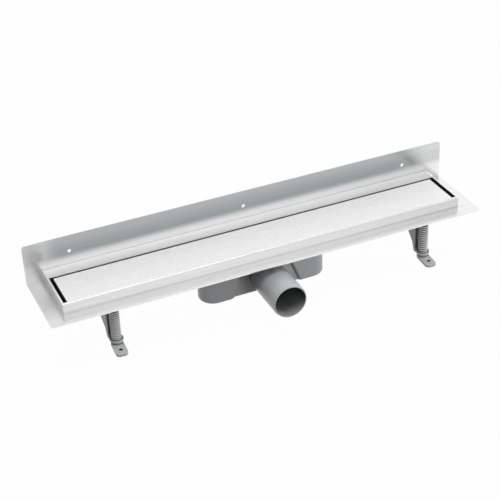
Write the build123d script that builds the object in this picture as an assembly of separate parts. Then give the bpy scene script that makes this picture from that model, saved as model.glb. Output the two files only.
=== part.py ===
"""Linear shower drain for fitting against a wall: a stainless channel with a wall upstand and a flange,
a solid cover, a plastic trap with a spigot outlet, and two screw-levelled feet under the front flange.
Millimetres. The origin is the middle fixing hole, on the upstand's front face.
+Z is up and +Y goes into the wall."""

import os

from build123d import *

# Channel, stainless sheet folded and welded
sheet = 1.5
channel_length = 600.0
collar_depth = 92.3
collar_height = 15.2
ledge_depth = 23.0
hem_drop = 5.5
rim_radius = 1.0
flange_width = 23.0
flange_corner = 5.0
wall_height = 58.2
wall_corner = 5.0
fixing_height = 34.2
fixing_inset = 64.5
fixing_diameter = 5.5
trough_drop = 6.1
trough_fall = 2.3
outlet_flat = 175.0

# Cover, a stainless plate glued onto a moulded frame, on plastic saddles
cover_recess = 1.0
cover_radius = 1.2
cover_frame_wall = 2.0
cover_frame_depth = 7.5
cover_frame_inset = 0.3
cover_end_gap = 4.6
cover_front_gap = 1.0
cover_back_gap = 1.8
saddle_length = 13.0
saddle_gap = 1.0
saddle_arch_width = 37.0
saddle_arch_height = 12.0
saddle_end_inset = 42.0
saddle_mid_reach = 33.0

# Trap, a moulded tray with its outlet spigot and a lid
stand_height = 62.3
trap_shift = -2.0
trap_setback = 0.8
trap_length = 191.0
trap_depth = 44.0
trap_wall = 2.2
trap_foot_radius = 4.0
waist_low_half = 50.5
waist_high_half = 30.0
waist_inset = 3.6
waist_run = 3.0
waist_radius = 4.5
lid_thickness = 2.4
lid_overhang = 4.0
outlet_diameter = 50.0
outlet_wall = 2.5
outlet_reach = 154.7
outlet_ground_gap = 0.9
outlet_bevel = 1.0
outlet_bevel_run = 4.0
outlet_root_step = 0.6
outlet_root_length = 2.0

# Clamping of the trap under the trough floor
gasket_thickness = 2.0
clamp_thickness = 3.0
clamp_length = 141.0
clamp_width = 50.0
screw_diameter = 4.0
screw_head_diameter = 7.6
screw_head_height = 2.4
screw_spread = (62.0, 12.0)
screw_clearance = 0.25
boss_diameter = 8.0
boss_depth = 10.0
boss_core_clearance = 0.1

# Removable trap insert: a dip tube, its cup, a seal and a hair strainer
throat_length = 109.0
throat_width = 32.0
insert_rim = 2.5
insert_rim_thickness = 3.0
insert_clearance = 0.75
insert_wall = 1.8
seal_thickness = 1.5
seal_width = 1.7
cup_clearance = 1.5
cup_rim_gap = 8.0
cup_floor_gap = 3.0
water_gap = 5.0
dip_gap = 8.0
post_width = 12.0
strainer_thickness = 1.5
strainer_inset = 0.5
strainer_skirt = 4.0
strainer_clearance = 0.5
strainer_hole = 3.2
strainer_pitch = 4.4
strainer_rows = 2

# Legs: moulded bracket, threaded spindle and foot plate, the same on both sides
leg_inset = 64.5
leg_offset = 11.5
arm_wall = 2.2
arm_lean_wall = 2.6
arm_lip = 2.0
arm_front_offset = 4.2
arm_front_width = 17.6
arm_back_inset = 19.4
arm_back_width = 30.0
arm_knee_inset = 1.8
arm_knee_drop = 38.8
stud_inset = 5.5
stud_diameter = 5.0
stud_length = 11.0
stud_clearance = 0.3
nut_across_flats = 8.0
nut_height = 4.0
nut_clearance = 0.1
ring_diameter = 18.6
ring_drop = 51.4
ring_height = 3.0
ring_lip_diameter = 17.0
ring_lip_height = 1.25
spindle_diameter = 14.0
thread_depth = 0.9
thread_pitch = 3.2
spindle_drop = 5.5
spindle_clearance = 0.3
spindle_pin_diameter = 8.0
spindle_bead_diameter = 9.2
spindle_bead_height = 1.0
drive_slot_width = 2.0
drive_slot_depth = 2.5
foot_thickness = 4.3
foot_width = 16.6
foot_reach = 29.7
foot_corner = 6.0
foot_edge_radius = 0.6
foot_turn = -3.5
foot_hub_diameter = 13.5
foot_hub_height = 2.0
foot_socket_floor = 1.0
foot_hole_reach = 19.0
foot_hole_diameter = 4.8

# How near two values are to be the same
tiny = 0.01

# Levels, from the fixing holes down to the surface it stands on
flange_z = -fixing_height
rim_z = flange_z + collar_height
wall_top_z = flange_z + wall_height
floor_mid_z = flange_z - trough_drop
floor_end_z = floor_mid_z + trough_fall
base_z = flange_z - stand_height
lid_top_z = floor_mid_z - gasket_thickness
tray_top_z = lid_top_z - lid_thickness
outlet_z = base_z + outlet_ground_gap + outlet_diameter / 2
cover_top_z = rim_z - cover_recess
cover_under_z = cover_top_z - sheet

# Plan lines, from the middle of the channel and from the wall face
half_length = channel_length / 2
sheet_end = half_length + flange_width
trough_back_y = -ledge_depth
trough_front_y = -collar_depth + sheet
trap_y = trap_setback - (ledge_depth + collar_depth) / 2
trap_place = Pos(trap_shift, trap_y, 0)
leg_places = {"left": leg_inset - half_length, "right": half_length - leg_inset}
leg_y = -collar_depth - leg_offset
arm_front_y = -collar_depth - arm_front_offset
arm_back_y = -collar_depth + arm_back_inset
arm_knee_y = -collar_depth + arm_knee_inset
stud_y = -collar_depth + stud_inset


def block(x_range, y_range, z_range):
    """A box between two values on each axis."""
    size = [high - low for low, high in (x_range, y_range, z_range)]
    middle = [(high + low) / 2 for low, high in (x_range, y_range, z_range)]
    return Pos(*middle) * Box(*size)


def plate(outline, low_z, high_z):
    """A flat outline in plan, given thickness between two levels."""
    return Pos(0, 0, low_z) * extrude(outline, high_z - low_z)


def rounded_ring(length, width, wall):
    """The outline of a wall that runs round inside a round-ended shape."""
    return SlotOverall(length, width) - SlotOverall(length - 2 * wall, width - 2 * wall)


def drilled(points, diameter, low_z, high_z):
    """Upright cylinders at plan points, to drill with or to add."""
    height = high_z - low_z
    return [Pos(x, y, (low_z + high_z) / 2) * Cylinder(diameter / 2, height) for x, y in points]


def trough_volume(inset, y_range, top_z):
    """The trough as a filled shape: upright ends, and a floor that falls to a flat about the outlet."""
    end = half_length - inset
    outline = Polyline(
        (-end, top_z), (end, top_z), (end, floor_end_z + inset), (outlet_flat / 2, floor_mid_z + inset),
        (-outlet_flat / 2, floor_mid_z + inset), (-end, floor_end_z + inset), close=True,
    )
    front, back = y_range
    section = Plane(origin=(0, back, 0), x_dir=(1, 0, 0), z_dir=(0, -1, 0)) * make_face(outline.edges())
    return extrude(section, back - front)


def trough_envelope():
    """The outside of the trough, which the legs seat against."""
    return trough_volume(0, (-collar_depth, trough_back_y + sheet), rim_z)


def screw_points():
    """Plan points of the clamp screws about the trap's middle, two at each end of its throat."""
    along, across = screw_spread
    return [(x, y) for x in (-along, along) for y in (-across, across)]


def throat_opening():
    """The round-ended opening that the trap insert drops through."""
    side = insert_rim + insert_clearance
    return SlotOverall(throat_length + 2 * side, throat_width + 2 * side)


def trough():
    """Pan with a sloping floor, a collar with hemmed rim, and the ledge that runs back to the wall."""
    pan = trough_envelope()
    pan -= trough_volume(sheet, (trough_front_y, trough_back_y), rim_z + sheet)
    end_x = half_length - sheet
    hem_z = (rim_z - hem_drop, rim_z)
    pan += block((-end_x, end_x), (trough_front_y, trough_front_y + sheet), hem_z)
    for side in (-1, 1):
        hem_x = sorted((side * end_x, side * (end_x - sheet)))
        wall_x = sorted((side * half_length, side * end_x))
        pan += block(hem_x, (trough_front_y, trough_back_y), hem_z)
        pan += block(wall_x, (trough_back_y, 0), (flange_z - sheet, rim_z))
    pan += block((-half_length, half_length), (trough_back_y, 0), (rim_z - sheet, rim_z))
    outside = pan.edges().filter_by(
        lambda e: abs(abs(e.center().X) - half_length) < tiny or abs(e.center().Y + collar_depth) < tiny
    )
    rim = outside.filter_by(lambda e: abs(e.center().Z - rim_z) < tiny)
    front_corners = outside.filter_by(Axis.Z).filter_by(lambda e: abs(e.center().Y + collar_depth) < tiny)
    pan = fillet(rim + front_corners, rim_radius)

    low_z = floor_mid_z - sheet
    high_z = floor_mid_z + 2 * sheet
    pan -= trap_place * plate(throat_opening(), low_z, high_z)
    holes = drilled(screw_points(), screw_diameter + 2 * screw_clearance, low_z, high_z)
    return pan - [trap_place * hole for hole in holes]


def mounting_flange():
    """Flat sheet welded round the collar on three sides, its back edges against the wall upstand."""
    depth = collar_depth + flange_width
    flange = Pos(0, -depth / 2) * Rectangle(2 * sheet_end, depth)
    flange = fillet(flange.vertices().group_by(Axis.Y)[0], flange_corner)
    flange -= Pos(0, -collar_depth / 2) * Rectangle(channel_length, collar_depth)
    return plate(flange, flange_z - sheet, flange_z)


def wall_upstand():
    """Upright sheet at the back, with round top corners and three fixing holes."""
    height = wall_height + sheet
    upstand = Pos(0, wall_top_z - height / 2) * Rectangle(2 * sheet_end, height)
    upstand = fillet(upstand.vertices().group_by(Axis.Y)[-1], wall_corner)
    spread = sheet_end - fixing_inset
    for x in (-spread, 0, spread):
        upstand -= Pos(x, 0) * Circle(fixing_diameter / 2)
    back = Plane(origin=(0, sheet, 0), x_dir=(1, 0, 0), z_dir=(0, -1, 0))
    return extrude(back * upstand, sheet)


def cover_span():
    """The cover's plan limits, set in from the rim by its gaps."""
    end = half_length - 2 * sheet - cover_end_gap
    front = trough_front_y + sheet + cover_front_gap
    return (-end, end), (front, trough_back_y - cover_back_gap)


def cover_plate():
    """The solid cover, flat sheet with its corners and upper edges rounded."""
    cover = block(*cover_span(), (cover_under_z, cover_top_z))
    under = cover.faces().sort_by(Axis.Z)[0].edges()
    return fillet([e for e in cover.edges() if e not in under], cover_radius)


def cover_frame_span(inset):
    """Plan limits of the frame's outside, or of the room within it."""
    inset += cover_frame_inset
    return [(low + inset, high - inset) for low, high in cover_span()]


def cover_frame():
    """Moulded frame glued under the cover all round, which keeps the thin sheet straight."""
    z_range = (cover_under_z - cover_frame_depth, cover_under_z)
    return block(*cover_frame_span(0), z_range) - block(*cover_frame_span(cover_frame_wall), z_range)


def cover_saddles():
    """Arched plastic saddles that stand on the trough floor and carry the cover from beneath."""
    _, (front, back) = cover_frame_span(cover_frame_wall + saddle_gap)
    middle = (front + back) / 2
    arch_top = floor_mid_z + sheet + saddle_arch_height
    inside = trough_volume(sheet, (trough_front_y, trough_back_y), rim_z)
    end_place = half_length - saddle_end_inset
    mid_place = outlet_flat / 2 + saddle_mid_reach
    saddles = []
    for x in (-end_place, -mid_place, mid_place, end_place):
        x_range = (x - saddle_length / 2, x + saddle_length / 2)
        saddle = block(x_range, (front, back), (floor_mid_z, cover_under_z))
        arch_y = (middle - saddle_arch_width / 2, middle + saddle_arch_width / 2)
        arch = block(x_range, arch_y, (floor_mid_z - sheet, arch_top))
        arch = fillet(arch.faces().sort_by(Axis.Z)[-1].edges().filter_by(Axis.X), saddle_arch_height / 2)
        saddles.append((saddle - arch) & inside)
    return saddles


def waist_recess(grow):
    """The recess in the tray's front, wider below than above and with sloping sides, grown by a wall."""
    edge_y = -trap_depth / 2
    floor_y = edge_y + waist_inset + grow
    sections = []
    for z, half in ((base_z, waist_low_half), (tray_top_z, waist_high_half)):
        inner = half + grow
        outer = inner + waist_run * (waist_inset + grow) / waist_inset
        outline = Polyline((-outer, edge_y), (outer, edge_y), (inner, floor_y), (-inner, floor_y), close=True)
        sections.append(Pos(0, 0, z) * make_face(outline.edges()))
    return loft(sections)


def tray_form(inset):
    """The tray's round-ended outside, or the room within its wall, with its waist and round lower edges."""
    outline = SlotOverall(trap_length - 2 * inset, trap_depth - 2 * inset)
    low_z = base_z + inset
    tray = plate(outline, low_z, tray_top_z) - waist_recess(inset)
    middle_z = (low_z + tray_top_z) / 2
    reach = waist_low_half + waist_run + inset
    upright = tray.edges().filter_by(lambda e: abs(e.center().Z - middle_z) < tiny)
    bends = upright.filter_by(lambda e: abs(e.center().X) < reach and e.center().Y < 0)
    tray = fillet(bends, waist_radius)
    return fillet(tray.faces().sort_by(Axis.Z)[0].edges(), trap_foot_radius - inset)


def outlet_length():
    """Where the outlet starts and ends, measured from the trap's middle."""
    return -outlet_reach - trap_y, -trap_depth / 2 + waist_inset + trap_foot_radius + trap_wall


def spigot():
    """The outlet, turned about its own axis: bevelled mouth, plain length, and a thicker root at the tray."""
    mouth_y, root_y = outlet_length()
    plain = outlet_diameter / 2
    root = plain + outlet_root_step
    shoulder_y = -trap_depth / 2 - outlet_root_length
    profile = Polyline(
        (0, mouth_y), (plain - outlet_bevel, mouth_y), (plain, mouth_y + outlet_bevel_run),
        (plain, shoulder_y), (root, shoulder_y), (root, root_y), (0, root_y), close=True,
    )
    return Pos(0, 0, outlet_z) * revolve(make_face(profile.edges()), Axis.Y)


def trap_body():
    """The moulded tray, hollow, with the outlet spigot that leaves its front wall."""
    mouth_y, root_y = outlet_length()
    mouth = Plane(origin=(0, mouth_y, outlet_z), x_dir=(1, 0, 0), z_dir=(0, 1, 0))
    bore = extrude(mouth * Circle(outlet_diameter / 2 - outlet_wall), root_y - mouth_y)
    return tray_form(0) + spigot() - tray_form(trap_wall) - bore


def trap_lid():
    """The flat top of the trap, welded on, with the throat and the bosses for the clamp screws."""
    outline = SlotOverall(trap_length + 2 * lid_overhang, trap_depth + 2 * lid_overhang)
    lid = plate(outline - SlotOverall(throat_length, throat_width), tray_top_z, lid_top_z)
    for boss in drilled(screw_points(), boss_diameter, tray_top_z - boss_depth, tray_top_z):
        lid += boss
    core = screw_diameter + 2 * boss_core_clearance
    return lid - drilled(screw_points(), core, tray_top_z - boss_depth + trap_wall, lid_top_z)


def clamp_ring(low_z, high_z):
    """A round-ended ring about the throat with the screw holes, for the gasket and the clamp frame."""
    ring = plate(SlotOverall(clamp_length, clamp_width) - throat_opening(), low_z, high_z)
    return ring - drilled(screw_points(), screw_diameter + 2 * screw_clearance, low_z, high_z)


def trap_gasket():
    """Flat rubber ring between the lid and the underside of the trough floor."""
    return clamp_ring(lid_top_z, floor_mid_z)


def clamp_frame():
    """Moulded frame on the trough floor, which the screws pull down with sheet and gasket onto the lid."""
    return clamp_ring(floor_mid_z + sheet, floor_mid_z + sheet + clamp_thickness)


def clamp_screws():
    """Pan-head screws down through frame, sheet and gasket into the lid's bosses."""
    seat_z = floor_mid_z + sheet + clamp_thickness
    tip_z = tray_top_z - boss_depth + 2 * trap_wall
    shanks = drilled(screw_points(), screw_diameter, tip_z, seat_z)
    heads = drilled(screw_points(), screw_head_diameter, seat_z, seat_z + screw_head_height)
    heads = [fillet(head.edges().group_by(Axis.Z)[-1], screw_head_height / 3) for head in heads]
    return [shank + head for shank, head in zip(shanks, heads)]


def cup_size():
    """Length and width of the cup, which has to pass through the throat."""
    return throat_length - 2 * cup_clearance, throat_width - 2 * cup_clearance


def dip_size():
    """Length and width of the dip tube inside the cup, with the water gap all round."""
    inset = insert_wall + water_gap
    length, width = cup_size()
    return length - 2 * inset, width - 2 * inset


def insert_seal():
    """Rubber ring under the insert's rim."""
    length, width = throat_length + 2 * seal_width, throat_width + 2 * seal_width
    return plate(rounded_ring(length, width, seal_width), lid_top_z, lid_top_z + seal_thickness)


def dip_tube():
    """Rim that rests on the lid, and a round-ended tube that dips into the water standing in the cup."""
    rim_low_z = lid_top_z + seal_thickness
    rim_high_z = rim_low_z + insert_rim_thickness
    length, width = dip_size()
    rim = SlotOverall(throat_length + 2 * insert_rim, throat_width + 2 * insert_rim)
    rim -= SlotOverall(length - 2 * insert_wall, width - 2 * insert_wall)
    cup_floor_z = base_z + trap_wall + cup_floor_gap + insert_wall
    tube = plate(rounded_ring(length, width, insert_wall), cup_floor_z + dip_gap, rim_low_z)
    return plate(rim, rim_low_z, rim_high_z) + tube


def siphon_cup():
    """Cup that holds the standing water, hung from the insert's rim on two end posts."""
    length, width = cup_size()
    low_z = base_z + trap_wall + cup_floor_gap
    edge_z = tray_top_z - cup_rim_gap
    hang_z = lid_top_z + seal_thickness
    room = SlotOverall(length - 2 * insert_wall, width - 2 * insert_wall)
    cup = plate(SlotOverall(length, width), low_z, edge_z) - plate(room, low_z + insert_wall, edge_z)
    posts = plate(rounded_ring(length, width, insert_wall), edge_z, hang_z)
    end_x = (length - width) / 2
    across = (-post_width / 2, post_width / 2)
    for side in (-1, 1):
        cup += posts & block(sorted((side * end_x, side * length)), across, (edge_z, hang_z))
    return cup


def hair_strainer():
    """Perforated plate on the insert's rim, with a skirt that drops into the dip tube."""
    low_z = lid_top_z + seal_thickness + insert_rim_thickness
    side = 2 * (insert_rim - strainer_inset)
    length, width = dip_size()
    inset = 2 * (insert_wall + strainer_clearance)
    skirt = rounded_ring(length - inset, width - inset, strainer_thickness)
    outline = SlotOverall(throat_length + side, throat_width + side)
    strainer = plate(outline, low_z, low_z + strainer_thickness) + plate(skirt, low_z - strainer_skirt, low_z)
    clear_length = length - inset - 2 * strainer_thickness - strainer_hole
    columns = int(clear_length // strainer_pitch)
    grid = GridLocations(strainer_pitch, strainer_pitch, columns, strainer_rows)
    holes = [(place.position.X, place.position.Y) for place in grid]
    return strainer - drilled(holes, strainer_hole, low_z, low_z + strainer_thickness)


def arm_plan(x, wall, lip):
    """Plan of a leg's arm, wider at the back, or of the hollow within its walls, whose front has lips."""
    front = arm_front_width / 2 - wall - lip
    back = arm_back_width / 2 - wall
    front_y = arm_front_y - wall
    outline = Polyline(
        (x - front, front_y), (x + front, front_y), (x + back, arm_back_y), (x - back, arm_back_y), close=True
    )
    return make_face(outline.edges())


def arm_profile(x, points):
    """A side view of the arm, as points back and up, spread across the arm's width."""
    side = make_face(Polyline(*points, close=True).edges())
    return extrude(Plane.YZ.offset(x - arm_back_width / 2) * side, arm_back_width)


def leg_bracket(x):
    """Moulded bracket: a hollow arm open to the front, seated under flange and trough, and a spindle ring."""
    ring_high_z = flange_z - ring_drop
    ring_low_z = ring_high_z - ring_height
    seat_z = flange_z - sheet
    plate_low_z = floor_mid_z - arm_wall
    knee_z = flange_z - arm_knee_drop
    open_y = arm_front_y - arm_wall
    arm = plate(arm_plan(x, 0, 0), ring_low_z, seat_z) & arm_profile(x, [
        (arm_front_y, seat_z), (arm_back_y, seat_z), (arm_back_y, plate_low_z), (arm_knee_y, knee_z),
        (arm_front_y + arm_wall, ring_low_z), (arm_front_y, ring_low_z),
    ])
    hollow = plate(arm_plan(x, arm_wall, arm_lip), ring_high_z, plate_low_z) & arm_profile(x, [
        (open_y, plate_low_z), (arm_back_y - arm_lean_wall, plate_low_z),
        (arm_knee_y - arm_lean_wall, knee_z), (open_y, ring_high_z),
    ])
    half = arm_front_width / 2
    neck = block((x - half, x + half), (leg_y, arm_front_y + arm_wall), (ring_low_z, ring_high_z))
    bracket = arm - hollow - trough_envelope() + neck
    lip_z = ring_high_z + ring_lip_height
    bracket += drilled([(x, leg_y)], ring_diameter, ring_low_z, ring_high_z)[0]
    bracket += drilled([(x, leg_y)], ring_lip_diameter, ring_low_z, lip_z)[0]
    bracket -= drilled([(x, leg_y)], spindle_diameter + 2 * spindle_clearance, ring_low_z, lip_z)
    return bracket - drilled([(x, stud_y)], stud_diameter + 2 * stud_clearance, plate_low_z, flange_z)


def leg_stud(x):
    """Stud welded under the trough floor, which carries the bracket."""
    tip_z = floor_mid_z - stud_length
    stud = drilled([(x, stud_y)], stud_diameter, tip_z, flange_z)[0]
    return stud - trough_envelope()


def leg_nut(x):
    """Hexagon nut that holds the bracket on its stud."""
    high_z = floor_mid_z - arm_wall
    hexagon = RegularPolygon(nut_across_flats / 2, 6, major_radius=False)
    hexagon -= Circle(stud_diameter / 2 + nut_clearance)
    return Pos(x, stud_y, high_z - nut_height) * extrude(hexagon, nut_height)


def hub_top_z():
    """Level of the foot hub's top face."""
    return base_z + foot_thickness + foot_hub_height


def bead_z():
    """Middle of the snap bead, halfway up the foot's socket."""
    return (base_z + foot_socket_floor + hub_top_z()) / 2


def pin_profile(gap):
    """Radius and height steps of the spindle's snap pin, grown by a gap to make the foot's socket."""
    pin = spindle_pin_diameter / 2 + gap
    bead = spindle_bead_diameter / 2 + gap
    bead_half = spindle_bead_height / 2 + gap
    floor_z = base_z + foot_socket_floor + spindle_clearance - gap
    return [
        (0, floor_z), (pin, floor_z), (pin, bead_z() - bead_half), (bead, bead_z() - bead_half),
        (bead, bead_z() + bead_half), (pin, bead_z() + bead_half), (pin, hub_top_z() + spindle_clearance),
    ]


def revolved(points, x):
    """A profile of radius and height, turned about a leg's upright axis."""
    section = make_face(Polyline(*[(radius, 0, z) for radius, z in points], close=True).edges())
    return Pos(x, leg_y) * revolve(section, Axis.Z)


def leg_spindle(x):
    """Threaded spindle: ridged shank with a drive slot on top and a snap pin below."""
    crest = spindle_diameter / 2
    root = crest - thread_depth
    low_z = hub_top_z() + spindle_clearance
    high_z = flange_z - spindle_drop
    turns = int((high_z - low_z - thread_pitch) // thread_pitch)
    points = pin_profile(0) + [(root, low_z)]
    for turn in range(turns):
        ridge_z = low_z + (turn + 1) * thread_pitch
        points += [(crest, ridge_z), (root, ridge_z + thread_pitch / 2)]
    points += [(root, high_z), (0, high_z)]
    slot_x = (x - crest, x + crest)
    slot_y = (leg_y - drive_slot_width / 2, leg_y + drive_slot_width / 2)
    return revolved(points, x) - block(slot_x, slot_y, (high_z - drive_slot_depth, high_z))


def leg_foot(x):
    """Foot plate with a tongue to the front, its screw hole, and the hub that snaps onto the spindle."""
    tongue = Pos(0, -foot_reach / 2) * Rectangle(foot_width, foot_reach)
    tongue = fillet(tongue.vertices().group_by(Axis.Y)[0], foot_corner)
    foot = extrude(tongue + Circle(foot_width / 2), foot_thickness)
    foot = fillet(foot.faces().sort_by(Axis.Z)[-1].edges(), foot_edge_radius)
    foot -= drilled([(0, -foot_hole_reach)], foot_hole_diameter, 0, foot_thickness)
    foot = Pos(x, leg_y, base_z) * Rot(0, 0, foot_turn) * foot
    foot += drilled([(x, leg_y)], foot_hub_diameter, base_z, hub_top_z())[0]
    return foot - revolved(pin_profile(spindle_clearance) + [(0, hub_top_z() + spindle_clearance)], x)


def save(name, *shapes):
    """Writes one node: a single solid, or a group of separate solids."""
    solids = [solid for shape in shapes for solid in shape.solids()]
    shape = solids[0] if len(solids) == 1 else Compound(children=solids)
    export_step(shape, os.path.join("parts", name + ".step"))


os.makedirs("parts", exist_ok=True)
save("trough", trough())
save("mounting_flange", mounting_flange())
save("wall_upstand", wall_upstand())
save("cover_plate", cover_plate())
save("cover_frame", cover_frame())
save("cover_saddles", *cover_saddles())
save("trap_body", trap_place * trap_body())
save("trap_lid", trap_place * trap_lid())
save("trap_gasket", trap_place * trap_gasket())
save("clamp_frame", trap_place * clamp_frame())
save("clamp_screws", *[trap_place * screw for screw in clamp_screws()])
save("insert_seal", trap_place * insert_seal())
save("dip_tube", trap_place * dip_tube())
save("siphon_cup", trap_place * siphon_cup())
save("hair_strainer", trap_place * hair_strainer())
for side, place in leg_places.items():
    save(side + "_leg_bracket", leg_bracket(place))
    save(side + "_leg_stud", leg_stud(place))
    save(side + "_leg_nut", leg_nut(place))
    save(side + "_leg_spindle", leg_spindle(place))
    save(side + "_leg_foot", leg_foot(place))
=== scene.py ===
import math

import bmesh
import bpy
import numpy as np
from mathutils import Matrix, Vector


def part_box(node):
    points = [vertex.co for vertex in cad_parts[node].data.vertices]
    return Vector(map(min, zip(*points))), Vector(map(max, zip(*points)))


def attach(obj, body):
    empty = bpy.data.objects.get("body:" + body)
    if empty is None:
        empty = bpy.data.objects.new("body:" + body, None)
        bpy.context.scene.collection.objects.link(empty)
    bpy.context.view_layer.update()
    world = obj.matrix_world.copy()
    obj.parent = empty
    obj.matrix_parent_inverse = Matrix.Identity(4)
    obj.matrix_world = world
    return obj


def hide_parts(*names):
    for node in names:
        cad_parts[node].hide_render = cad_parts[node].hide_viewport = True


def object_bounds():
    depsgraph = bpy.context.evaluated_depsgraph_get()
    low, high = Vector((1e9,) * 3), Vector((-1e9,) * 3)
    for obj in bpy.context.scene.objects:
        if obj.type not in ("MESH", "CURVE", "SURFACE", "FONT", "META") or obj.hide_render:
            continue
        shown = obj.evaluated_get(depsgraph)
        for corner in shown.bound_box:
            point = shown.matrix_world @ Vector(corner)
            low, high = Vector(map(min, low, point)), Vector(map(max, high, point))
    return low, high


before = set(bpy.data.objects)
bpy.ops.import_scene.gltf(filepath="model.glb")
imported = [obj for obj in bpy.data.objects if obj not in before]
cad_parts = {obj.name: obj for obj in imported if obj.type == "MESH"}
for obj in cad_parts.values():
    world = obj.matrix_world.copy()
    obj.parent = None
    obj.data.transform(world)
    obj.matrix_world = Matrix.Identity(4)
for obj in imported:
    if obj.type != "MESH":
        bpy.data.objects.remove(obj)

cad_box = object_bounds()

# The flange and the upstand: two flat stainless sheets, cut to outline and welded along the wall side.
# They are rolled with a satin finish, whose fine grain runs along the sheet. The upstand has rounded upper
# corners and is drilled for three wall screws.
steel_colour = (0.885, 0.885, 0.885, 1.0)
steel_roughness = 0.26
upstand_roughness = 0.29
# More clouding than this draws false cracks on the sheet when the picture is cleared of noise.
roughness_change = 0.01
noise_middle = (0.3, 0.7)
line_cells = (14.0, 1600.0, 1600.0)
line_tint = 0.03
line_depth = 0.00004
line_strength = 0.06
cloud_cells = (9.0, 26.0, 26.0)
streak_cells = (2.5, 260.0, 260.0)
streak_depth = 0.07
black = (0.0, 0.0, 0.0, 1.0)
ledge_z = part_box("trough")[1].z
channel_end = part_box("trough")[1].x
upstand_low, upstand_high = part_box("wall_upstand")
# Shade is painted on the upstand in place of the cover's dark reflection, in a slightly blue grey.
shade_colour = (0.0, 0.045, 0.064, 1.0)
shade_depth = 0.56
shade_foot_rise = 0.0045
shade_full_rise = 0.0175
shade_top_share = 0.75
left_end_fade = (0.008, 0.053)
left_end_share = 0.12
right_end_fade = (0.083, 0.018)
right_end_share = 0.5
# A thin line of painted shade marks the corner where the ledge meets the upstand, on both sheets.
corner_width = 0.0012
corner_shade_depth = 0.28
corner_end_fade = 0.001


def new_material(name):
    """An empty node material with one principled shader, ready for its textures."""
    material = bpy.data.materials.new(name)
    material.use_nodes = True
    shader = material.node_tree.nodes["Principled BSDF"]
    return material, material.node_tree, shader


def grain(tree, cells, detail):
    """Noise on object coordinates, with its own number of cells per metre along each axis."""
    place = tree.nodes.new("ShaderNodeTexCoord")
    mapping = tree.nodes.new("ShaderNodeMapping")
    mapping.inputs["Scale"].default_value = cells
    noise = tree.nodes.new("ShaderNodeTexNoise")
    noise.inputs["Scale"].default_value = 1.0
    noise.inputs["Detail"].default_value = detail
    tree.links.new(place.outputs["Object"], mapping.inputs["Vector"])
    tree.links.new(mapping.outputs["Vector"], noise.inputs["Vector"])
    return noise.outputs["Fac"]


def ramp_between(tree, value, start, end, low, high, course="SMOOTHSTEP"):
    """A number that goes from low to high while the value goes from start to end."""
    node = tree.nodes.new("ShaderNodeMapRange")
    node.interpolation_type = course
    node.inputs["From Min"].default_value = start
    node.inputs["From Max"].default_value = end
    node.inputs["To Min"].default_value = low
    node.inputs["To Max"].default_value = high
    tree.links.new(value, node.inputs["Value"])
    return node.outputs["Result"]


def spread(tree, noise, low, high):
    """Maps the middle of a noise onto a range of numbers."""
    return ramp_between(tree, noise, *noise_middle, low, high, "LINEAR")


def tint(tree, noise, colour, change):
    """The colour made darker and lighter by a noise, by at most the given share."""
    ramp = tree.nodes.new("ShaderNodeValToRGB")
    factors = (1.0 - change, 1.0 + change)
    for element, position, factor in zip(ramp.color_ramp.elements, noise_middle, factors):
        element.position = position
        element.color = [min(channel * factor, 1.0) for channel in colour[:3]] + [1.0]
    tree.links.new(noise, ramp.inputs["Fac"])
    return ramp.outputs["Color"]


def relief(tree, noise, depth, strength):
    """A bump of a given depth in metres, from a noise."""
    bump = tree.nodes.new("ShaderNodeBump")
    bump.inputs["Strength"].default_value = strength
    bump.inputs["Distance"].default_value = depth
    tree.links.new(noise, bump.inputs["Height"])
    return bump.outputs["Normal"]


def place_parts(tree):
    """The object coordinates of a surface, as three sockets."""
    place = tree.nodes.new("ShaderNodeTexCoord")
    parts = tree.nodes.new("ShaderNodeSeparateXYZ")
    tree.links.new(place.outputs["Object"], parts.inputs["Vector"])
    return parts.outputs["X"], parts.outputs["Y"], parts.outputs["Z"]


def arithmetic(tree, operation, first, second=None):
    """One step of arithmetic on one or two sockets, or on a socket and a number."""
    node = tree.nodes.new("ShaderNodeMath")
    node.operation = operation
    tree.links.new(first, node.inputs[0])
    if isinstance(second, float):
        node.inputs[1].default_value = second
    elif second is not None:
        tree.links.new(second, node.inputs[1])
    return node.outputs["Value"]


def product(tree, first, *others):
    """The product of two or more sockets."""
    for other in others:
        first = arithmetic(tree, "MULTIPLY", first, other)
    return first


def blend_colour(material, share, colour=black):
    """Blends a second colour into a material's own, by a share from 0 to 1."""
    tree = material.node_tree
    mix = tree.nodes.new("ShaderNodeMix")
    mix.data_type = "RGBA"
    mix.inputs["B"].default_value = colour
    colour_socket = tree.nodes["Principled BSDF"].inputs["Base Color"]
    tree.links.new(colour_socket.links[0].from_socket, mix.inputs["A"])
    tree.links.new(share, mix.inputs["Factor"])
    tree.links.new(mix.outputs["Result"], colour_socket)


def satin_steel(name, colour, roughness, metallic=1.0):
    """Rolled stainless: fine lines and broader streaks along the sheet, over a faint clouding."""
    material, tree, shader = new_material(name)
    lines = grain(tree, line_cells, detail=3.0)
    cloud = grain(tree, cloud_cells, detail=2.0)
    streaks = grain(tree, streak_cells, detail=2.0)
    tree.links.new(tint(tree, lines, colour, line_tint), shader.inputs["Base Color"])
    blend_colour(material, spread(tree, streaks, 0.0, streak_depth))
    gloss = spread(tree, cloud, roughness - roughness_change, roughness + roughness_change)
    tree.links.new(gloss, shader.inputs["Roughness"])
    tree.links.new(relief(tree, lines, line_depth, line_strength), shader.inputs["Normal"])
    shader.inputs["Metallic"].default_value = metallic
    return material


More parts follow.
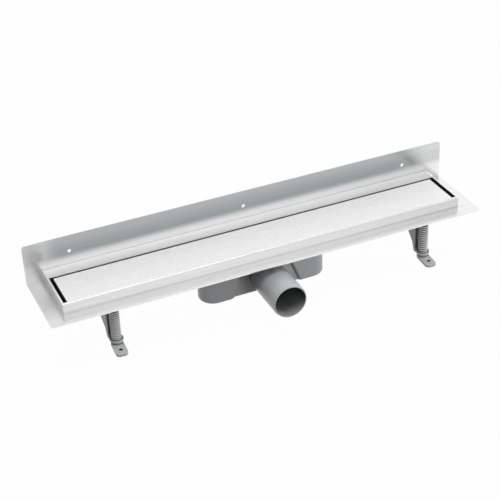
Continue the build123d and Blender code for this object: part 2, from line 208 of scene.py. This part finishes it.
def paint_upstand_shade(material):
    """Paints soft shade on the upstand above the strip that mirrors the ledge, in place of the cover's dark
    reflection.

    The painted shade is less at its top and towards its ends. A thin painted line of shade marks the corner
    where the ledge meets it.
    """
    tree = material.node_tree
    x, _, z = place_parts(tree)
    full_z = ledge_z + shade_full_rise
    foot = ramp_between(tree, z, ledge_z + shade_foot_rise, full_z, 0.0, shade_depth)
    fade = ramp_between(tree, z, full_z, upstand_high.z, 1.0, shade_top_share)
    left = ramp_between(tree, x, *(upstand_low.x + inset for inset in left_end_fade), left_end_share, 1.0)
    right = ramp_between(tree, x, *(upstand_high.x - inset for inset in right_end_fade), 1.0, right_end_share)
    blend_colour(material, product(tree, foot, fade, left, right), shade_colour)
    line = ramp_between(tree, z, ledge_z, ledge_z + corner_width, corner_shade_depth, 0.0)
    from_middle = arithmetic(tree, "ABSOLUTE", x)
    along_ledge = ramp_between(tree, from_middle, channel_end - corner_end_fade, channel_end, 1.0, 0.0)
    blend_colour(material, product(tree, line, along_ledge))


def dress(node, material):
    """Gives a piece of the frame its finish."""
    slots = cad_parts[node].data.materials
    slots.clear()
    slots.append(material)


upstand_steel = satin_steel("upstand_sheet", steel_colour, upstand_roughness)
paint_upstand_shade(upstand_steel)
dress("mounting_flange", satin_steel("satin_sheet", steel_colour, steel_roughness))
dress("wall_upstand", upstand_steel)

# The trough: a pan folded from the same satin sheet, with a hemmed rim and a floor that falls to the outlet.
# Its ledge runs back to the upstand, and its collar stands in the flange's opening, welded to it from below.
trough_metallic = 0.6
trough_low, trough_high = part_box("trough")
flange_top_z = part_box("mounting_flange")[1].z
# A line of painted shade runs along the collar's base, in the crease where it meets the flange.
crease_shade_height = 0.003
crease_shade_depth = 0.2
# The shade painted inside the pan starts within the thickness of its walls, so that their outside stays
# bright.
end_wall = (0.0012, 0.0008)
front_wall = (0.0009, 0.0013)
rim_fade = (0.0004, 0.0012)
inside_shade = 0.92


def paint_trough_shade(material):
    """Paints shade as dark lines along the collar's base and the ledge's back, and in the pan under the
    cover.
    """
    tree = material.node_tree
    x, y, z = place_parts(tree)
    crease_shade = ramp_between(tree, z, flange_top_z + crease_shade_height, flange_top_z, 0.0, crease_shade_depth)
    blend_colour(material, crease_shade)
    corner = ramp_between(tree, y, trough_high.y - corner_width, trough_high.y, 0.0, corner_shade_depth)
    blend_colour(material, corner)
    from_middle = arithmetic(tree, "ABSOLUTE", x)
    between_ends = ramp_between(tree, from_middle, *(channel_end - inset for inset in end_wall), 1.0, 0.0)
    behind_front = ramp_between(tree, y, *(trough_low.y + inset for inset in front_wall), 0.0, 1.0)
    below_rim = ramp_between(tree, z, *(ledge_z - drop for drop in rim_fade), 0.0, inside_shade)
    blend_colour(material, product(tree, between_ends, behind_front, below_rim))


trough_steel = satin_steel("trough_sheet", steel_colour, steel_roughness, trough_metallic)
paint_trough_shade(trough_steel)
dress("trough", trough_steel)

# The trap: a grey polypropylene tray, moulded in one with the waist in its front and with its outlet pipe.
# A moulded lid is welded onto its rim. The mould leaves a fine matt texture.
trap_colour = (0.310, 0.324, 0.334, 1.0)
trap_roughness = 0.30
trap_specular = 0.8
flow_cells = 22.0
flow_tint = 0.05
skin_cells = 2600.0
skin_depth = 0.00006
skin_strength = 0.25
gloss_change = 0.04
trap_low, trap_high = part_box("trap_body")
outlet_rise = 0.0259
pipe_length = 0.0758
outlet_x = (trap_low.x + trap_high.x) / 2
outlet_z = trap_low.z + outlet_rise
tray_front_y = trap_low.y + pipe_length
# A pair says where a painted shade or the painted highlight starts and ends: back from the tray's front,
# beside the pipe or round it.
# Painted shade darkens the upper part of the bore.
bore_radius = 0.0225
bore_skin = (0.0226, 0.0231)
bore_rise = 0.008
bore_depths = (0.0089, -0.0011)
bore_shade = 0.97
# A highlight is painted along the top of the pipe, stronger towards its mouth.
highlight_colour = (0.46, 0.47, 0.48, 1.0)
highlight_share = 0.65
highlight_reach = (0.040, 0.004)
highlight_rise = 0.02
# The flange's shadow is painted on the pipe near its root.
pipe_skin = (0.0262, 0.0280)
pipe_shadow = (-0.0411, -0.0071)
pipe_shade = 0.45
# Painted shade darkens the slanted side of the waist right of the pipe.
slant_front = (0.0002, 0.0009)
slant_back = (0.0027, 0.0034)
slant_inner = (0.026, 0.027)
slant_outer = (0.054, 0.055)
slant_shade = 0.85
# The pipe's shadow is painted on the waist left of its root.
root_reach = (0.0262, 0.0500)
root_side = (-0.020, -0.012)
root_depths = (-0.0014, 0.0004)
root_shade = 0.9
crease_angle = math.radians(28.0)
joining_distance = 0.000002


def moulded_plastic(name, colour, roughness, texture=skin_cells):
    """Moulded plastic: a fine even texture from the tool, and faint clouding from the flow."""
    material, tree, shader = new_material(name)
    flow = grain(tree, (flow_cells, flow_cells, flow_cells), detail=3.0)
    skin = grain(tree, (texture, texture, texture), detail=1.0)
    tree.links.new(tint(tree, flow, colour, flow_tint), shader.inputs["Base Color"])
    gloss = spread(tree, flow, roughness - gloss_change, roughness + gloss_change)
    tree.links.new(gloss, shader.inputs["Roughness"])
    tree.links.new(relief(tree, skin, skin_depth, skin_strength), shader.inputs["Normal"])
    return material


def distance_from(tree, first, second, centre):
    """How far a surface lies from an axis, which two of its coordinates place."""
    flat = tree.nodes.new("ShaderNodeCombineXYZ")
    tree.links.new(first, flat.inputs["X"])
    tree.links.new(second, flat.inputs["Y"])
    gap = tree.nodes.new("ShaderNodeVectorMath")
    gap.operation = "DISTANCE"
    tree.links.new(flat.outputs["Vector"], gap.inputs[0])
    gap.inputs[1].default_value = (centre[0], centre[1], 0.0)
    return gap.outputs["Value"]


def paint_outlet_light(material):
    """Paints a highlight on the top of the pipe towards its mouth, and shade in its bore and on its root.

    The root gets the flange's painted shadow, and the waist gets painted shade on both sides of the pipe.
    Depths are measured back from the tray's front, sides and heights from the axis of the pipe.
    """
    tree = material.node_tree
    x, y, z = place_parts(tree)
    depth = arithmetic(tree, "SUBTRACT", y, tray_front_y)
    side = arithmetic(tree, "SUBTRACT", x, outlet_x)
    height = arithmetic(tree, "SUBTRACT", z, outlet_z)
    from_axis = distance_from(tree, x, z, (outlet_x, outlet_z))
    pale = ramp_between(tree, y, *(trap_low.y + reach for reach in highlight_reach), 0.0, highlight_share)
    top = ramp_between(tree, height, 0.0, highlight_rise, 0.0, 1.0)
    blend_colour(material, product(tree, pale, top), highlight_colour)
    inside = ramp_between(tree, from_axis, *bore_skin, 1.0, 0.0)
    upper = ramp_between(tree, height, -bore_radius, bore_rise, 0.0, bore_shade)
    in_pipe = ramp_between(tree, depth, *bore_depths, 0.0, 1.0)
    blend_colour(material, product(tree, inside, upper, in_pipe))
    under_flange = ramp_between(tree, depth, *pipe_shadow, 0.0, pipe_shade)
    on_pipe = ramp_between(tree, from_axis, *pipe_skin, 1.0, 0.0)
    blend_colour(material, product(tree, under_flange, in_pipe, on_pipe))
    past_front = ramp_between(tree, depth, *slant_front, 0.0, slant_shade)
    before_back = ramp_between(tree, depth, *slant_back, 1.0, 0.0)
    right_of_pipe = ramp_between(tree, side, *slant_inner, 0.0, 1.0)
    in_waist = ramp_between(tree, side, *slant_outer, 1.0, 0.0)
    blend_colour(material, product(tree, past_front, before_back, right_of_pipe, in_waist))
    near_pipe = ramp_between(tree, from_axis, *root_reach, root_shade, 0.0)
    left_of_pipe = ramp_between(tree, side, *root_side, 1.0, 0.0)
    on_tray = ramp_between(tree, depth, *root_depths, 0.0, 1.0)
    blend_colour(material, product(tree, near_pipe, left_of_pipe, on_tray))


def add_piece(name, mesh, material, body, node):
    """Puts a new mesh in the scene on a body of the frame, in the place of one of its nodes."""
    mesh.materials.clear()
    mesh.materials.append(material)
    piece = bpy.data.objects.new(name, mesh)
    bpy.context.scene.collection.objects.link(piece)
    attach(piece, body)
    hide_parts(node)
    return piece


def rounded_off(node, material, body):
    """A node of the frame with its triangles joined, so that its bends and mouldings shade as round."""
    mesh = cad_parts[node].data.copy()
    work = bmesh.new()
    work.from_mesh(mesh)
    bmesh.ops.remove_doubles(work, verts=work.verts, dist=joining_distance)
    work.to_mesh(mesh)
    work.free()
    mesh.shade_smooth()
    mesh.set_sharp_from_angle(angle=crease_angle)
    piece = add_piece(node + "_shaded", mesh, material, body, node)
    flat_faces = piece.modifiers.new("flat_faces", "WEIGHTED_NORMAL")
    flat_faces.keep_sharp = True


trap_plastic = moulded_plastic("trap_plastic", trap_colour, trap_roughness)
trap_plastic.node_tree.nodes["Principled BSDF"].inputs["Specular IOR Level"].default_value = trap_specular
paint_outlet_light(trap_plastic)
rounded_off("trap_body", trap_plastic, "channel")
dress("trap_lid", trap_plastic)

# The seals: a flat rubber ring clamped between lid and trough, and a small one under the insert's rim.
# Both are cut from black sheet rubber and are held only by what presses on them.
rubber_colour = (0.022, 0.022, 0.023, 1.0)
rubber_roughness = 0.7
rubber_cells = 1500.0
seal_rubber = moulded_plastic("seal_rubber", rubber_colour, rubber_roughness, rubber_cells)
dress("trap_gasket", seal_rubber)
dress("insert_seal", seal_rubber)

# The clamp: a moulded frame inside the trough, drawn down on floor and gasket by pan-head steel screws.
# The screws go into bosses under the trap's lid.
insert_colour = (0.50, 0.51, 0.52, 1.0)
insert_roughness = 0.4
fastener_colour = (0.62, 0.62, 0.62, 1.0)
fastener_roughness = 0.32
insert_plastic = moulded_plastic("insert_plastic", insert_colour, insert_roughness)
fastener_steel = satin_steel("fastener_steel", fastener_colour, fastener_roughness)
dress("clamp_frame", insert_plastic)
dress("clamp_screws", fastener_steel)

# The lift-out insert: a dip tube in a hanging cup, which holds the water that keeps the smell out.
# A perforated strainer lies on its rim. All three are moulded, and lift out by hand.
strainer_colour = (0.10, 0.10, 0.11, 1.0)
strainer_roughness = 0.45
dress("dip_tube", insert_plastic)
dress("siphon_cup", insert_plastic)
dress("hair_strainer", moulded_plastic("strainer_plastic", strainer_colour, strainer_roughness))

# The cover: a flat stainless plate, glued onto a black moulded frame that rests on four arched saddles.
# Its top is ground in short random strokes, which leaves a pale speckle.
cover_colour = (0.803, 0.803, 0.803, 1.0)
cover_roughness = 0.42
cover_metallic = 0.25
stroke_cells = (90.0, 900.0, 900.0)
stroke_depth = 0.00008
stroke_strength = 0.3
speckle_cells = (260.0, 330.0, 330.0)
speckle_tint = 0.05
speckle_change = 0.06
cover_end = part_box("cover_plate")[1].x
# Painted shade darkens the cover's two end edges.
end_fade = (0.0014, 0.0008)
end_shade = 0.97
saddle_colour = (0.006, 0.006, 0.0065, 1.0)
saddle_roughness = 0.6


def ground_steel(name, colour, roughness):
    """Ground stainless: short strokes along the cover, and a fine speckle between them."""
    material, tree, shader = new_material(name)
    strokes = grain(tree, stroke_cells, detail=4.0)
    speckle = grain(tree, speckle_cells, detail=4.0)
    tree.links.new(tint(tree, speckle, colour, speckle_tint), shader.inputs["Base Color"])
    gloss = spread(tree, speckle, roughness - speckle_change, roughness + speckle_change)
    tree.links.new(gloss, shader.inputs["Roughness"])
    tree.links.new(relief(tree, strokes, stroke_depth, stroke_strength), shader.inputs["Normal"])
    shader.inputs["Metallic"].default_value = cover_metallic
    return material


def paint_cover_end_shade(material):
    """Paints shade on the two end edges of the cover, which lie in the shadow of the slots."""
    tree = material.node_tree
    from_middle = arithmetic(tree, "ABSOLUTE", place_parts(tree)[0])
    edge = ramp_between(tree, from_middle, *(cover_end - inset for inset in end_fade), 0.0, end_shade)
    blend_colour(material, edge)


ground_cover = ground_steel("ground_cover", cover_colour, cover_roughness)
paint_cover_end_shade(ground_cover)
saddle_plastic = moulded_plastic("saddle_plastic", saddle_colour, saddle_roughness)
dress("cover_plate", ground_cover)
dress("cover_frame", saddle_plastic)
dress("cover_saddles", saddle_plastic)

# The legs: a moulded grey arm on each side, bolted to a stud under the trough, with a ring for the spindle.
# The foot plate below snaps onto the spindle's pin, and a floor screw goes through its tongue.
leg_colour = (0.39, 0.40, 0.405, 1.0)
leg_roughness = 0.4
# Painted shade darkens the arm's hollow behind the spindle and the gap inside its ring.
hollow_skin = (0.0100, 0.0130)
hollow_rise = (0.0051, 0.0071)
hollow_shade = 0.75
ring_gap_skin = (0.0083, 0.0089)
ring_gap_shade = 0.9
foot_turn = math.radians(3.5)
# Painted shade darkens the foot's screw hole.
hole_reach = 0.0190
hole_skin = (0.0025, 0.0029)
hole_shade = 0.9


def spindle_axis(side):
    """Where the axis of a side's spindle stands."""
    low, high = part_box(side + "_leg_spindle")
    return (low.x + high.x) / 2, (low.y + high.y) / 2


def arm_plastic(side):
    """The arm's plastic, with painted shade in the hollow behind the spindle and in the gap between spindle
    and ring.
    """
    material = moulded_plastic(side + "_arm_plastic", leg_colour, leg_roughness)
    tree = material.node_tree
    x, y, z = place_parts(tree)
    ring_base_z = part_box(side + "_leg_bracket")[0].z
    from_axis = distance_from(tree, x, y, spindle_axis(side))
    hollow = ramp_between(tree, from_axis, *hollow_skin, hollow_shade, 0.0)
    above_ring = ramp_between(tree, z, *(ring_base_z + rise for rise in hollow_rise), 0.0, 1.0)
    blend_colour(material, product(tree, hollow, above_ring))
    blend_colour(material, ramp_between(tree, from_axis, *ring_gap_skin, ring_gap_shade, 0.0))
    return material


def foot_plastic(side):
    """The foot's plastic, with painted shade down its screw hole."""
    material = moulded_plastic(side + "_foot_plastic", leg_colour, leg_roughness)
    tree = material.node_tree
    x, y, _ = place_parts(tree)
    axis_x, axis_y = spindle_axis(side)
    hole = (axis_x - hole_reach * math.sin(foot_turn), axis_y - hole_reach * math.cos(foot_turn))
    blend_colour(material, ramp_between(tree, distance_from(tree, x, y, hole), *hole_skin, hole_shade, 0.0))
    return material


for side in ("left", "right"):
    rounded_off(side + "_leg_bracket", arm_plastic(side), "channel")
    rounded_off(side + "_leg_foot", foot_plastic(side), side + "_foot")
    dress(side + "_leg_stud", fastener_steel)
    dress(side + "_leg_nut", fastener_steel)

# The spindles: moulded plastic rods with a coarse right-hand thread, which the brackets' rings take up.
# A slot on top takes a screwdriver, and the pin at the foot has a bead that snaps into the foot plate.
spindle_colour = (0.65, 0.66, 0.665, 1.0)
thread_pitch = 0.0032
thread_crest = 0.0070
thread_root = 0.0056
thread_rows = 12
thread_columns = 48
thread_run_out = 0.0015
ridge_sharpness = 2.2
# Painted shade darkens the thread towards its root.
root_margin = 0.0002
thread_shade = 0.97
pin_radius = 0.0040
bead_radius = 0.0046
bead_half = 0.0005
shoulder_gap = 0.0003
socket_floor = 0.0010
slot_width = 0.0020
slot_depth = 0.0025
slot_length = 0.03
thread_crease_angle = math.radians(50.0)


def closed_tube(rings):
    """Joins rings of points, each from one turn about an axis, and closes both ends on their middles."""
    rows, columns = rings.shape[:2]
    points = np.concatenate([rings.reshape(-1, 3), rings[:1].mean(axis=1), rings[-1:].mean(axis=1)])
    row, column = np.meshgrid(np.arange(rows - 1), np.arange(columns), indexing="ij")
    ahead = (column + 1) % columns
    quads = np.stack([row * columns + column, row * columns + ahead,
                      (row + 1) * columns + ahead, (row + 1) * columns + column], axis=-1).reshape(-1, 4)
    around = np.arange(columns)
    beside = (around + 1) % columns
    last = (rows - 1) * columns
    low_cap = np.stack([beside, around, np.full(columns, rows * columns)], axis=-1)
    high_cap = np.stack([last + around, last + beside, np.full(columns, rows * columns + 1)], axis=-1)
    mesh = bpy.data.meshes.new("tube")
    mesh.from_pydata(points.tolist(), [], quads.tolist() + low_cap.tolist() + high_cap.tolist())
    return mesh


def threaded_rod(axis, top_z, hub_top, hub_base):
    """Radius by turn and height: a ridge that climbs one pitch a turn, worn round, over a plain snap pin.

    The share of a pitch is height over pitch less turn; the ridge is a softened square wave of that share,
    and fades out near both ends of the thread.
    """
    shoulder_z = hub_top + shoulder_gap
    turn = np.linspace(0.0, 2 * math.pi, thread_columns, endpoint=False)[None, :]
    count = int((top_z - shoulder_z) / thread_pitch * thread_rows)
    height = np.linspace(shoulder_z, top_z, count)[:, None]
    share = (height - shoulder_z) / thread_pitch - turn / (2 * math.pi)
    wave = np.tanh(ridge_sharpness * np.cos(2 * math.pi * share)) / math.tanh(ridge_sharpness)
    ends = np.minimum(height - shoulder_z, top_z - height) / thread_run_out
    ridge = (0.5 + 0.5 * wave) * np.clip(ends, 0.0, 1.0)
    radius = thread_root + (thread_crest - thread_root) * ridge
    pin_z = hub_base + socket_floor + shoulder_gap
    bead_z = (hub_base + socket_floor + hub_top) / 2
    pin_steps = np.array([(pin_radius, pin_z), (pin_radius, bead_z - bead_half),
                          (bead_radius, bead_z - bead_half), (bead_radius, bead_z + bead_half),
                          (pin_radius, bead_z + bead_half), (pin_radius, shoulder_z)])
    radius = np.concatenate([np.repeat(pin_steps[:, :1], thread_columns, axis=1), radius])
    height = np.concatenate([pin_steps[:, 1:], height])
    rings = np.stack([axis[0] + radius * np.cos(turn), axis[1] + radius * np.sin(turn),
                      np.repeat(height, thread_columns, axis=1)], axis=-1)
    return closed_tube(rings)


def slotted(mesh, axis, top_z):
    """The rod with a screwdriver slot cut across its top."""
    rod = bpy.data.objects.new("rod", mesh)
    cutter_mesh = bpy.data.meshes.new("cutter")
    work = bmesh.new()
    bmesh.ops.create_cube(work, size=1.0)
    work.to_mesh(cutter_mesh)
    work.free()
    size = Vector((slot_length, slot_width, 2 * slot_depth))
    middle_top = Vector((*axis, top_z))
    cutter_mesh.transform(Matrix.Translation(middle_top) @ Matrix.Diagonal(size.to_4d()))
    cutter = bpy.data.objects.new("cutter", cutter_mesh)
    for helper in (rod, cutter):
        bpy.context.scene.collection.objects.link(helper)
    cut = rod.modifiers.new("slot", "BOOLEAN")
    cut.object = cutter
    cut.solver = "EXACT"
    done = bpy.data.meshes.new_from_object(rod.evaluated_get(bpy.context.evaluated_depsgraph_get()))
    for helper in (rod, cutter):
        bpy.data.objects.remove(helper)
    done.shade_smooth()
    done.set_sharp_from_angle(angle=thread_crease_angle)
    return done


def thread_plastic(side):
    """The spindle's plastic, with painted shade towards the root of the thread."""
    material = moulded_plastic(side + "_thread_plastic", spindle_colour, leg_roughness)
    tree = material.node_tree
    x, y, _ = place_parts(tree)
    from_axis = distance_from(tree, x, y, spindle_axis(side))
    dark_radius = thread_root + root_margin
    plain_radius = thread_crest - root_margin
    blend_colour(material, ramp_between(tree, from_axis, dark_radius, plain_radius, thread_shade, 0.0))
    return material


for side in ("left", "right"):
    spindle_top_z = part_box(side + "_leg_spindle")[1].z
    foot_low, foot_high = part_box(side + "_leg_foot")
    rod_mesh = threaded_rod(spindle_axis(side), spindle_top_z, foot_high.z, foot_low.z)
    add_piece(side + "_threaded_spindle", slotted(rod_mesh, spindle_axis(side), spindle_top_z),
              thread_plastic(side), side + "_spindle", side + "_leg_spindle")

# The floor: a plain white sheet, which lies just below the feet when they are screwed right out.
# The camera and the metal both see it as white, but a part of its own light and shade stays, so that the
# drain's shadow shows on it.
floor_reach = 40.0
foot_travel = 0.035
floor_gap = 0.001
floor_colour = (0.45, 0.45, 0.45, 1.0)
floor_roughness = 0.9
floor_shade = 0.02
white = (1.0, 1.0, 1.0, 1.0)
white_level = 1.0
floor_z = cad_box[0].z - foot_travel - floor_gap
corners = np.array([(-1.0, -1.0), (1.0, -1.0), (1.0, 1.0), (-1.0, 1.0)]) * floor_reach
floor_points = np.column_stack([corners, np.full(len(corners), floor_z)])
floor_mesh = bpy.data.meshes.new("floor")
floor_mesh.from_pydata(floor_points.tolist(), [], [(0, 1, 2, 3)])


def white_paper(name):
    """Plain pale paper, mixed with white light where the camera or a mirror sees it."""
    material, tree, shader = new_material(name)
    shader.inputs["Base Color"].default_value = floor_colour
    shader.inputs["Roughness"].default_value = floor_roughness
    path = tree.nodes.new("ShaderNodeLightPath")
    seen = arithmetic(tree, "MAXIMUM", path.outputs["Is Camera Ray"], path.outputs["Is Glossy Ray"])
    glow = tree.nodes.new("ShaderNodeEmission")
    glow.inputs["Color"].default_value = white
    glow.inputs["Strength"].default_value = white_level
    mix = tree.nodes.new("ShaderNodeMixShader")
    tree.links.new(arithmetic(tree, "MULTIPLY", seen, 1.0 - floor_shade), mix.inputs["Fac"])
    tree.links.new(shader.outputs["BSDF"], mix.inputs[1])
    tree.links.new(glow.outputs["Emission"], mix.inputs[2])
    tree.links.new(mix.outputs["Shader"], tree.nodes["Material Output"].inputs["Surface"])
    return material


floor_mesh.materials.append(white_paper("floor_paper"))
floor = bpy.data.objects.new("floor", floor_mesh)
bpy.context.scene.collection.objects.link(floor)

# The studio: a broad soft light above, a weak one in front and a low key at the right.
# The surround is dim in front and white behind the drain, and the camera sees it as plain white.
front_level = 0.36
back_level = 1.05
back_direction = (0.7, 0.71, 0.0)
back_full = 0.8
middle = (cad_box[0] + cad_box[1]) / 2


def soft_light(name, place, width, height, power):
    """A flat area light that faces the middle of the drain."""
    lamp = bpy.data.lights.new(name, "AREA")
    lamp.shape = "RECTANGLE"
    lamp.size = width
    lamp.size_y = height
    lamp.energy = power
    light = bpy.data.objects.new(name, lamp)
    light.location = place
    light.rotation_mode = "QUATERNION"
    light.rotation_quaternion = (middle - Vector(place)).to_track_quat("-Z", "Y")
    bpy.context.scene.collection.objects.link(light)


def pale_surround(name):
    """A surround whose level rises from the front to the back of the drain, and is white for the camera."""
    world = bpy.data.worlds.new(name)
    world.use_nodes = True
    tree = world.node_tree
    place = tree.nodes.new("ShaderNodeTexCoord")
    towards = tree.nodes.new("ShaderNodeVectorMath")
    towards.operation = "DOT_PRODUCT"
    towards.inputs[1].default_value = back_direction
    tree.links.new(place.outputs["Generated"], towards.inputs[0])
    level = ramp_between(tree, towards.outputs["Value"], 0.0, back_full, front_level, back_level, "LINEAR")
    path = tree.nodes.new("ShaderNodeLightPath")
    shown = tree.nodes.new("ShaderNodeMix")
    shown.inputs["B"].default_value = white_level
    tree.links.new(path.outputs["Is Camera Ray"], shown.inputs["Factor"])
    tree.links.new(level, shown.inputs["A"])
    tree.links.new(shown.outputs["Result"], tree.nodes["Background"].inputs["Strength"])
    tree.nodes["Background"].inputs["Color"].default_value = white
    return world


soft_light("overhead", place=(-0.2, -0.6, 2.3), width=2.2, height=1.2, power=40.0)
soft_light("front_strip", place=(0.58, -1.95, 1.3), width=1.45, height=1.15, power=3.4)
soft_light("right_key", place=(1.9, -1.6, 0.15), width=0.8, height=0.3, power=18.0)
bpy.context.scene.world = pale_surround("surround")
bpy.context.scene.view_settings.view_transform = "Standard"

# The camera: it stands left of the drain and above it, rolled a little, with a short telephoto lens.
# Its place, angles and lens are those at which the drain's edges fall where the photograph has them.
azimuth = math.radians(-22.998)
elevation = math.radians(31.986)
roll = math.radians(-2.477)
camera_place = (-0.615148, -1.466188, 0.919025)
focal_pixels = 1291.51
image_pixels = 500.0
sensor_width = 36.0
back = Vector((math.sin(azimuth) * math.cos(elevation),
               -math.cos(azimuth) * math.cos(elevation),
               math.sin(elevation)))
level_right = Vector((math.cos(azimuth), math.sin(azimuth), 0.0))
level_up = back.cross(level_right)
right = level_right * math.cos(roll) + level_up * math.sin(roll)
up = level_up * math.cos(roll) - level_right * math.sin(roll)
camera = bpy.data.objects.new("camera", bpy.data.cameras.new("camera"))
camera.data.sensor_width = sensor_width
camera.data.lens = sensor_width * focal_pixels / image_pixels
camera.matrix_world = Matrix((right, up, back)).transposed().to_4x4()
camera.location = camera_place
bpy.context.scene.collection.objects.link(camera)
bpy.context.scene.camera = camera
